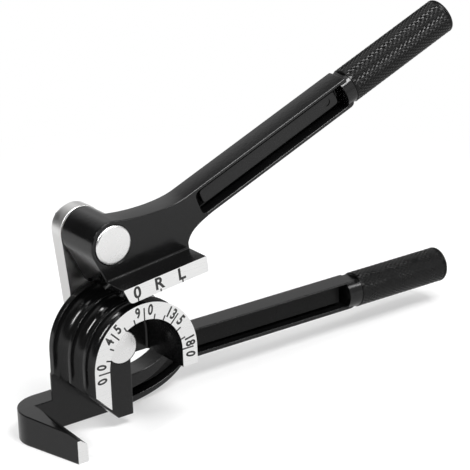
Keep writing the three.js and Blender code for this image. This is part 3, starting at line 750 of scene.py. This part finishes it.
def neck_block():
    """Block between the boss and the shoe, behind the front face."""
    low = SHOE_BOTTOM + SHOE_HEIGHT / 2
    angle = math.radians(LEFT_TOUCH)
    outline = Outline(SHOE_BOSS * math.cos(angle), SHOE_BOSS * math.sin(angle)).line(
        (shoe_slope(low), low), (NECK_BLOCK_END, low), (NECK_BLOCK_END, 0), (0, 0))
    return plate("neck_block", outline, SHOE_FACE + FACE_SINK, SHOE_DEPTH)


def shoe_fillet():
    """The soft corner between the shoe's top and the face over it."""
    section = fillet_section(SHOE_FILLET, -SHOE_TOP, SHOE_FACE)
    start = shoe_slope(SHOE_TOP) + SINK
    return prism("fillet", [(start, depth, -down) for down, depth in section],
                 (SHOE_END - SINK - start, 0, 0))


def shoe_groove(radius, centre):
    """Cutter of one groove in the underside of the shoe."""
    place = Matrix.Translation((0, centre, FORMER_RADIUS - LINK_LENGTH))
    lay = place @ Matrix.Rotation(-math.pi / 2, 4, "Z")
    return rod("groove", radius, -SHOE_END, SHOE_END + OVERRUN, 2 * GROOVE_STEPS, lay)


def upper_recess():
    """Cutter of the recess in the upper handle, with round corners at its start."""
    top, bottom, r = UPPER["top"], UPPER["bottom"], RECESS_ROUND
    start, end = UPPER_RECESS_START, UPPER["neck"]
    outline = Outline(*on_upper(end, bottom)).line(on_upper(end, top), on_upper(start + r, top))
    outline.quad(on_upper(start, top), on_upper(start, top - r)).line(on_upper(start, bottom + r))
    outline.quad(on_upper(start, bottom), on_upper(start + r, bottom))
    return plate("recess", outline, SHOE_FACE - OVERRUN, SHOE_FACE + UPPER["recess"])


def upper_panel():
    """Panel of the upper recess, with four round corners."""
    low, top = UPPER["bottom"] + PANEL_MARGIN, UPPER["top"] - PANEL_MARGIN
    start, end, r = UPPER_RECESS_START + PANEL_LEAD, UPPER["neck"] - PANEL_MARGIN, PANEL_ROUND
    outline = Outline(*on_upper(start + r, low)).line(on_upper(end - r, low))
    outline.quad(on_upper(end, low), on_upper(end, low + r)).line(on_upper(end, top - r))
    outline.quad(on_upper(end, top), on_upper(end - r, top)).line(on_upper(start + r, top))
    outline.quad(on_upper(start, top), on_upper(start, top - r)).line(on_upper(start, low + r))
    outline.quad(on_upper(start, low), on_upper(start + r, low))
    return panel(outline, UPPER)


def shoe_casting(materials):
    casting = shoe_web()
    boss = rod("boss", SHOE_BOSS, SHOE_FACE + FACE_SINK, FORMER_WIDTH, BOSS_STEPS,
               Matrix.Rotation(-math.radians(RIGHT_TOUCH), 4, "Y"))
    combine(casting, [neck_block(), boss, shoe_block(), shoe_fillet()], "UNION")
    bore = rod("bore", BORE_RADIUS, SHOE_FACE, FORMER_WIDTH + OVERRUN)
    grooves = [shoe_groove(r, y) for r, y in zip(GROOVE_RADII, groove_centres())]
    combine(casting, [*grooves, head_seat(SHOE_HEAD), bore], "DIFFERENCE")
    combine(casting, [neck(UPPER)], "UNION")
    faced(casting, 0, 1)
    dressed(smooth(casting), SHOE_TO_FRAME, "shoe", materials, ["shoe_handle"])


def pin(name, head, place, body, material):
    """A pin with its head in front and a groove for its clip behind."""
    front, shoulder = head["face"] - head["proud"], head["face"] - head["proud"] + head["height"]
    end, groove = CLIP_BACK + PIN_TAIL, PIN_RADIUS - CLIP_GROOVE
    edge, tail = head["edge"], quarter(PIN_RADIUS, end, head["edge"], head["edge"])
    profile = [(0, front)] + quarter(head["radius"], front, edge * HEAD_EDGE_SPREAD, edge)
    profile += [(head["radius"], shoulder - PIN_FIT), (PIN_RADIUS, shoulder - PIN_FIT),
                (PIN_RADIUS, CLIP_FRONT - PIN_FIT), (groove, CLIP_FRONT - PIN_FIT),
                (groove, CLIP_BACK + PIN_FIT), (PIN_RADIUS, CLIP_BACK + PIN_FIT)]
    profile += [(r, 2 * end - y) for r, y in reversed(tail)]
    thing = turned(name, profile + [(0, end)])
    dressed(smooth(thing), place, body, [material], [name])


def flat_ring(name, size, place, body, material):
    """A shim or flat washer."""
    front, back = size["front"], size["front"] + size["thickness"]
    edge = size["thickness"] / 5
    outer = quarter(size["radius"], front, edge, edge)
    mirrored = [(r, front + back - y) for r, y in reversed(outer)]
    thing = turned(name, [(BORE_RADIUS, front)] + outer + mirrored + [(BORE_RADIUS, back)])
    dressed(smooth(thing), place, body, [material], [name])


def link(material):
    """Flat link with round ends and a bore for each pin."""
    outline = Outline(-LINK_HALF_WIDTH, 0)
    outline.arc((0, 0), LINK_HALF_WIDTH, 180, 360, 2 * CURVE_STEPS)
    outline.arc((0, LINK_LENGTH), LINK_HALF_WIDTH, 0, 180, 2 * CURVE_STEPS)
    thing = plate("link", outline, LINK_FRONT, LINK_BACK)
    eased(thing, LINK_EDGE, lambda middle, convex: convex)
    bores = [rod("bore", BORE_RADIUS, LINK_FRONT - OVERRUN, LINK_BACK + OVERRUN,
                 place=Matrix.Translation((0, 0, height))) for height in (0, LINK_LENGTH)]
    combine(thing, bores, "DIFFERENCE")
    dressed(smooth(thing), LINK_TO_FRAME, "link", [material], ["link_plate"])


def ringed(bm, loop, rings):
    """Carries a round edge loop on through (radius, distance) rings and closes it."""
    for radius, distance in rings:
        made = bmesh.ops.extrude_edge_only(bm, edges=loop)["geom"]
        for vert in only(BMVert, made):
            out = Vector((vert.co.x, 0, vert.co.z)).normalized() * radius
            vert.co = (out.x, distance, out.z)
        loop = [edge for edge in only(BMEdge, made) if edge.is_boundary]
        for edge in loop:
            for face in edge.link_faces:
                face.smooth = True
    bmesh.ops.contextual_create(bm, geom=loop)


def knurled_grip(name, handle, place, body, material):
    """A grip whose knurl is a net of small diamonds, each raised to a point."""
    front = handle["grip"] - GRIP_LEAD
    start, end = front + KNURL_MARGIN, handle["end"] - GRIP_END_ROUND - KNURL_MARGIN
    rows = round((end - start) / KNURL_PITCH)
    root = GRIP_RADIUS - KNURL_DEPTH
    bm = bmesh.new()
    bmesh.ops.create_grid(bm, x_segments=KNURL_ROUND, y_segments=rows, size=0.5)
    for vert in bm.verts:
        turn, along = 2 * math.pi * vert.co.x, start + (vert.co.y + 0.5) * (end - start)
        vert.co = (root * math.cos(turn), along, root * math.sin(turn))
    bmesh.ops.remove_doubles(bm, verts=bm.verts, dist=KNURL_PITCH / 10)
    net = [edge for edge in bm.edges if not edge.is_boundary]
    centres = bmesh.ops.poke(bm, faces=bm.faces[:])["verts"]
    bmesh.ops.dissolve_edges(bm, edges=net, use_verts=False, use_face_split=False)
    points = bmesh.ops.poke(bm, faces=[face for face in bm.faces if len(face.verts) == 4])["verts"]
    for verts, radius in ((centres, root), (points, GRIP_RADIUS)):
        for vert in verts:
            out = Vector((vert.co.x, 0, vert.co.z)).normalized() * radius
            vert.co = (out.x, vert.co.y, out.z)
    rim = [edge for edge in bm.edges if edge.is_boundary]
    middle = (start + end) / 2
    chamfer = [(GRIP_RADIUS, start - KNURL_MARGIN / 3), (GRIP_RADIUS - KNURL_MARGIN, front)]
    round_end = [(r, 2 * handle["end"] - y) for r, y in
                 reversed(quarter(GRIP_RADIUS, handle["end"], GRIP_END_ROUND, GRIP_END_ROUND))]
    ringed(bm, [edge for edge in rim if edge.verts[0].co.y < middle], chamfer)
    ringed(bm, [edge for edge in rim if edge.verts[0].co.y > middle],
           [(GRIP_RADIUS, end + KNURL_MARGIN / 3)] + round_end)
    thing = solid(name, bm)
    lay = along_handle(handle)
    thing.data.transform(lay)
    across = (lay @ Matrix.Translation((0, handle["grip"] + ROLL_PIN_SETBACK, 0))
              @ Matrix.Rotation(math.pi / 2, 4, "Z"))
    hole = rod("hole", ROLL_PIN_HOLE, 0, GRIP_RADIUS + OVERRUN, CURVE_STEPS, across)
    combine(thing, [hole], "DIFFERENCE")
    dressed(thing, place, body, [material], [name])


def stamped(bm, text, place, style):
    """Adds one character, centred on its place, to a mesh of marks."""
    curve = bpy.data.curves.new("mark", "FONT")
    curve.body, curve.size, curve.offset = text, 1, style["bold"]
    curve.extrude, curve.resolution_u = 0.01, 6
    thing = linked("mark", curve)
    mesh = settled(thing)
    places = [v.co for v in mesh.vertices]
    low, high = (Vector(pick(axis) for axis in zip(*places)) for pick in (min, max))
    size, centre = high - low, (high + low) / 2
    grow = style["height"] / size.y
    scale = Matrix.Diagonal((grow * style["width_share"], grow, INK_THICKNESS / size.z, 1))
    mesh.transform(place @ scale @ Matrix.Translation(-centre))
    bm.from_mesh(mesh)
    bpy.data.objects.remove(thing)


def tick(bm, place, length):
    """Adds one straight line, centred on its place, to a mesh of marks."""
    cube = bmesh.ops.create_cube(bm, size=1)["verts"]
    size = Matrix.Diagonal((TICK_WIDTH, length, INK_THICKNESS, 1))
    bmesh.ops.transform(bm, matrix=place @ size, verts=cube)


def face_place(x, z, turn=0):
    """Place on the scale face, turned clockwise from upright, looking at its front."""
    upright = Matrix.Rotation(math.pi / 2, 4, "X")
    return Matrix.Translation((x, 0, z)) @ Matrix.Rotation(turn, 4, "Y") @ upright


def scale_marks(material):
    """The degree scale round the front face, clockwise, with a line through each number."""
    bm = bmesh.new()

    def on_ring(degrees, radius, shift=0):
        turn = math.radians(degrees - 90) + shift / radius
        return face_place(radius * math.sin(turn), radius * math.cos(turn), turn)
    for degrees in SCALE_DEGREES:
        label = f"{degrees:02d}"
        tick(bm, on_ring(degrees, FORMER_BORE + LONG_TICK / 2), LONG_TICK)
        for i, digit in enumerate(label[:-1]):
            shift = (i - (len(label) - 2) / 2) * DIGIT_PITCH - DIGIT_GAP
            stamped(bm, digit, on_ring(degrees, DIGIT_RING, shift), DIGIT)
        stamped(bm, label[-1], on_ring(degrees, DIGIT_RING, DIGIT_GAP), DIGIT)
    for degrees in SHORT_DEGREES:
        tick(bm, on_ring(degrees, FORMER_BORE + SHORT_TICK / 2), SHORT_TICK)
    dressed(solid("scale_marks", bm), TO_FRAME, "former", [material])


def shoe_marks(material):
    """The three marks along the front face of the shoe, each over a short line."""
    bm = bmesh.new()
    for letter, x in SHOE_LETTERS.items():
        middle = SHOE_BOTTOM + LETTER_FOOT + LETTER["height"] / 2
        stamped(bm, letter, face_place(x, middle), LETTER)
        tick(bm, face_place(x, SHOE_BOTTOM + SHOE_TICK / 2), SHOE_TICK)
    dressed(solid("shoe_marks", bm), SHOE_TO_FRAME, "shoe", [material])


class Value:
    """The output of a node, which sums and products of values can use."""

    def __init__(self, nodes, socket):
        self.nodes, self.socket = nodes, socket

    def math(self, operation, first, second=0):
        return self.nodes.add("ShaderNodeMath", {"operation": operation}, {0: first, 1: second})

    def __add__(self, other):
        return self.math("ADD", self, other)

    __radd__ = __add__

    def __rsub__(self, other):
        return self.math("SUBTRACT", other, self)

    def __mul__(self, other):
        return self.math("MULTIPLY", self, other)

    __rmul__ = __mul__


class Nodes:
    """The nodes of a material or of the world."""

    def __init__(self, tree):
        self.tree = tree

    def add(self, kind, settings=(), inputs=(), output=0):
        node = self.tree.nodes.new(kind)
        for name, value in dict(settings).items():
            setattr(node, name, value)
        self.feed(node, inputs)
        return Value(self, node.outputs[output])

    def feed(self, node, inputs):
        for name, value in dict(inputs).items():
            if isinstance(value, Value):
                self.tree.links.new(value.socket, node.inputs[name])
            else:
                node.inputs[name].default_value = value

    def noise(self, place, size, detail=2):
        """Noise whose spots are about as large as the size, in millimetres."""
        return self.add("ShaderNodeTexNoise", (),
                        {"Vector": place, "Scale": 1 / (size * MM), "Detail": detail})

    def between(self, value, low, high, start, end):
        """Maps a value from one range to another, and holds it there."""
        return self.add("ShaderNodeMapRange", {"interpolation_type": "SMOOTHSTEP"}, {
            "Value": value, "From Min": low, "From Max": high, "To Min": start, "To Max": end})

    def blend(self, share, first, second):
        return self.add("ShaderNodeMix", {"data_type": "RGBA"}, {0: share, 6: first, 7: second}, 2)

    def bump(self, height, depth, under=None):
        inputs = {"Strength": 1, "Distance": depth * MM, "Height": height}
        if under:
            inputs["Normal"] = under
        return self.add("ShaderNodeBump", (), inputs)


def grey(level, tint=(1, 1, 1)):
    return (*(level * t for t in tint), 1)


def finish(name, look, *more, **constants):
    """A material whose shader takes plain values by name, and the others from a function."""
    material = bpy.data.materials.new(name)
    material.use_nodes = True
    nodes = Nodes(material.node_tree)
    place = nodes.add("ShaderNodeTexCoord", output="Object")
    shader = material.node_tree.nodes["Principled BSDF"]
    nodes.feed(shader, {**constants, **look(nodes, place, *more)})
    return material


def black_coat(nodes, place):
    """Smooth black paint on die-cast metal, with a faint orange peel."""
    cloud, peel, grain = nodes.noise(place, 14), nodes.noise(place, 1.6), nodes.noise(place, 0.35)
    return {"Base Color": nodes.blend(cloud, grey(0.002), grey(0.005, (1, 1, 1.05))),
            "Roughness": nodes.between(cloud + 0.3 * grain, 0.4, 0.9, 0.12, 0.22),
            "Normal": nodes.bump(grain, 0.006, nodes.bump(peel, 0.03))}


def dull_coat_painted_shade(nodes, place):
    """The same paint, rougher and a little darker, on the panel of the lower recess; its low IOR dims
    its reflections as painted shade.
    """
    cloud, grain = nodes.noise(place, 14), nodes.noise(place, 0.35)
    return {"Base Color": nodes.blend(cloud, grey(0.002), grey(0.004)),
            "Roughness": nodes.between(cloud, 0.4, 0.9, 0.25, 0.35),
            "Normal": nodes.bump(grain, 0.006)}


def ground_face(nodes, place):
    """Flat ground metal, bright, with fine straight lines."""
    across = nodes.add("ShaderNodeMapping", (), {
        "Vector": place, "Rotation": (0, GRIND_LEAN, 0), "Scale": (GRIND_STRETCH, 1, 1)})
    lines, cloud = nodes.noise(across, 0.25, 3), nodes.noise(place, 9)
    return {"Base Color": nodes.blend(cloud, grey(0.94), grey(1, (1, 1, 0.99))),
            "Roughness": nodes.between(lines, 0.3, 0.7, 0.26, 0.42),
            "Normal": nodes.bump(lines, 0.004)}


def turned_steel(nodes, place, centre):
    """Bright steel with the fine rings that a lathe leaves round a pin's axis."""
    offset = nodes.add("ShaderNodeVectorMath", {"operation": "SUBTRACT"}, {0: place, 1: centre})
    flat = nodes.add("ShaderNodeVectorMath", {"operation": "MULTIPLY"}, {0: offset, 1: (1, 0, 1)})
    radius = nodes.add("ShaderNodeVectorMath", {"operation": "LENGTH"}, {0: flat}, "Value")
    rings = radius.math("SINE", radius * (2 * math.pi / (LATHE_PITCH * MM)))
    cloud = nodes.noise(place, 5)
    return {"Base Color": nodes.blend(cloud, grey(0.9118), grey(0.97, (1, 0.995, 0.985))),
            "Roughness": nodes.between(cloud, 0.3, 0.7, 0.2, 0.34),
            "Normal": nodes.bump(rings, 0.004)}


def plated_steel(nodes, place):
    """Tumbled nickel plate on the link and the flat rings."""
    cloud, grain = nodes.noise(place, 7, 4), nodes.noise(place, 0.5)
    return {"Base Color": nodes.blend(cloud, grey(0.76), grey(0.86, (1, 0.99, 0.97))),
            "Roughness": nodes.between(cloud, 0.3, 0.7, 0.28, 0.42),
            "Normal": nodes.bump(grain, 0.012)}


def spring_steel(nodes, place):
    """Oiled spring steel, dark with a slight blue."""
    cloud, grain = nodes.noise(place, 3, 3), nodes.noise(place, 0.4)
    return {"Base Color": nodes.blend(cloud, grey(0.09), grey(0.16, (0.96, 0.98, 1.05))),
            "Roughness": nodes.between(cloud, 0.3, 0.7, 0.25, 0.45),
            "Normal": nodes.bump(grain, 0.01)}


def black_knurl(nodes, place):
    """Blackened steel, a little worn where the hand rubs it."""
    cloud, wear, grain = nodes.noise(place, 8), nodes.noise(place, 1.1), nodes.noise(place, 0.2)
    return {"Base Color": nodes.blend(nodes.between(wear, 0.55, 0.75, 0, 1), grey(0.002), grey(0.008)),
            "Roughness": nodes.between(cloud, 0.3, 0.7, 0.18, 0.3),
            "Normal": nodes.bump(grain, 0.01)}


def mark_ink(nodes, place):
    """Dark paint left in the stamped marks."""
    wear = nodes.noise(place, 0.7)
    return {"Base Color": nodes.blend(nodes.between(wear, 0.5, 0.8, 0, 1), grey(0.01), grey(0.03)),
            "Roughness": nodes.between(wear, 0.3, 0.7, 0.5, 0.65)}


# Pieces and their finishes
coat = finish("black_coat", black_coat, IOR=1.42)
# Dull coat: its low IOR dims the lower panel's reflections, painted shade in the recess.
dull_painted_shade = finish("dull_coat_painted_shade", dull_coat_painted_shade, IOR=1.25)
bright = finish("ground_face", ground_face, Metallic=1)
plated = finish("plated_steel", plated_steel, Metallic=1)
spring = finish("spring_steel", spring_steel, Metallic=1)
knurl = finish("black_knurl", black_knurl, IOR=1.3)
ink = finish("mark_ink", mark_ink)
former_casting([coat, bright, dull_painted_shade])
shoe_casting([coat, bright])
link(plated)
knurled_grip("lower_grip", LOWER, TO_FRAME, "former", knurl)
knurled_grip("upper_grip", UPPER, SHOE_TO_FRAME, "shoe", knurl)
for prefix, head, place, body in (("former_pin", FORMER_HEAD, TO_FRAME, "former"),
                                  ("shoe_pin", SHOE_HEAD, SHOE_TO_FRAME, "link")):
    steel = finish(prefix + "_steel", turned_steel, place.translation, Metallic=1)
    pin(prefix, head, place, body, steel)
    flat_ring(prefix + "_shim", SHIM, place, body, plated)
    flat_ring(prefix + "_washer", WASHER, place, body, plated)
scale_marks(ink)
shoe_marks(ink)
for node in frame["nodes"].values():
    if not node.hide_render:
        node.data.materials.clear()
        node.data.materials.append(spring)


def photo_camera():
    camera = linked("camera", bpy.data.cameras.new("camera"))
    camera.data.lens, camera.data.sensor_width = CAMERA_LENS, CAMERA_SENSOR
    camera.data.clip_start, camera.data.clip_end = CAMERA_CLIP
    turn = Matrix.Rotation(-CAMERA_AZIMUTH, 4, "Z")
    tilt = Matrix.Rotation(math.pi / 2 - CAMERA_ELEVATION, 4, "X")
    roll = Matrix.Rotation(CAMERA_ROLL, 4, "Z")
    camera.matrix_world = Matrix.Translation(CAMERA_PLACE) @ turn @ tilt @ roll
    bpy.context.scene.camera = camera


# Studio: a pale floor, a narrow softbox high on the left, a large soft light high in front, a small
# weak one in front on the right, a weak one overhead, and a backdrop behind the tool
STUDIO_CENTRE = Vector((0.05, 0, 0.05))
FLOOR_SIZE = 14

# Each light's way from the studio's centre, with its distance, size and power
LIGHTS = {"key": ((-0.71, -0.18, 0.68), 0.9, (0.42, 0.1), 4.5),
          "front": ((0.04, -0.53, 0.84), 1.15, (0.36, 0.5), 12),
          "side": ((0.591, -0.546, 0.593), 1.13, (0.3, 0.15), 1.5),
          "overhead": ((0.1, 0.05, 1), 1.1, (0.9, 0.9), 4)}

# Between these distances from the studio's centre the floor, which takes shadows, turns to plain
# white: the share of that white, and its level in a mirror, which is lower near the tool as painted
# shade
SHADOW_REACH = (0.16, 0.32)
FLOOR_GLOW = (0.42, 1)
MIRRORED_GLOW_PAINTED_SHADE = (0.78, 1)

# The backdrop's light for reflections, from one place to another, and its levels there
BACKDROP_LEFT = (-0.35, 0.15, 0.05, 1)
BACKDROP_RIGHT = (0.3, 0.6, 1, 0.5)
BACKDROP_HIGH = (0.5, 0.72, 1, 0.15)


def studio_floor():
    """Floor with the tool's shadow near it, plain white further out, and in mirrors white with painted
    shade near the tool.
    """
    bm = bmesh.new()
    bmesh.ops.create_grid(bm, x_segments=1, y_segments=1, size=FLOOR_SIZE / 2)
    floor = solid("floor", bm)
    material = bpy.data.materials.new("pale_floor")
    material.use_nodes = True
    nodes = Nodes(material.node_tree)
    shader = material.node_tree.nodes["Principled BSDF"]
    nodes.feed(shader, {"Base Color": grey(0.95), "Roughness": 0.9})
    place = nodes.add("ShaderNodeTexCoord", output="Object")
    away = nodes.add("ShaderNodeVectorMath", {"operation": "DISTANCE"},
                     {0: place, 1: STUDIO_CENTRE}, "Value")
    camera, mirrored, through = (nodes.add("ShaderNodeLightPath", output=kind) for kind in (
        "Is Camera Ray", "Is Glossy Ray", "Is Transmission Ray"))
    # To mirrors the floor glows less near the tool: painted shade in its reflections.
    level = camera + (1 - camera) * nodes.between(away, *SHADOW_REACH, *MIRRORED_GLOW_PAINTED_SHADE)
    share = camera * nodes.between(away, *SHADOW_REACH, *FLOOR_GLOW) + mirrored + through
    glow = nodes.add("ShaderNodeEmission", (), {"Color": grey(1), "Strength": level})
    plain = Value(nodes, shader.outputs[0])
    mixed = nodes.add("ShaderNodeMixShader", (), {0: share, 1: plain, 2: glow})
    nodes.feed(material.node_tree.nodes["Material Output"], {"Surface": mixed})
    floor.data.materials.append(material)


def soft_light(name, way, distance, size, power):
    """Area light that looks at the studio's centre."""
    lamp = bpy.data.lights.new(name, "AREA")
    lamp.shape, (lamp.size, lamp.size_y), lamp.energy = "RECTANGLE", size, power
    way = Vector(way).normalized()
    thing = linked(name, lamp)
    thing.location = STUDIO_CENTRE + distance * way
    thing.rotation_euler = way.to_track_quat("Z", "X").to_euler()


def backdrop():
    """World that is white to the camera, and to other rays dim on the left and high up."""
    world = bpy.data.worlds.new("studio")
    bpy.context.scene.world = world
    world.use_nodes = True
    nodes = Nodes(world.node_tree)
    way = nodes.add("ShaderNodeTexCoord", output="Generated")
    right, up = (nodes.add("ShaderNodeSeparateXYZ", (), {0: way}, axis) for axis in "XZ")
    level = nodes.between(right, *BACKDROP_LEFT) * nodes.between(right, *BACKDROP_RIGHT)
    level = level * nodes.between(up, *BACKDROP_HIGH)
    camera = nodes.add("ShaderNodeLightPath", output="Is Camera Ray")
    light = nodes.add("ShaderNodeCombineColor", (), {0: level, 1: level, 2: level})
    nodes.feed(world.node_tree.nodes["Background"],
               {"Color": nodes.blend(camera, light, grey(1)), "Strength": 1})


photo_camera()
studio_floor()
for name, light in LIGHTS.items():
    soft_light(name, *light)
backdrop()
bpy.context.scene.view_settings.view_transform = "Standard"
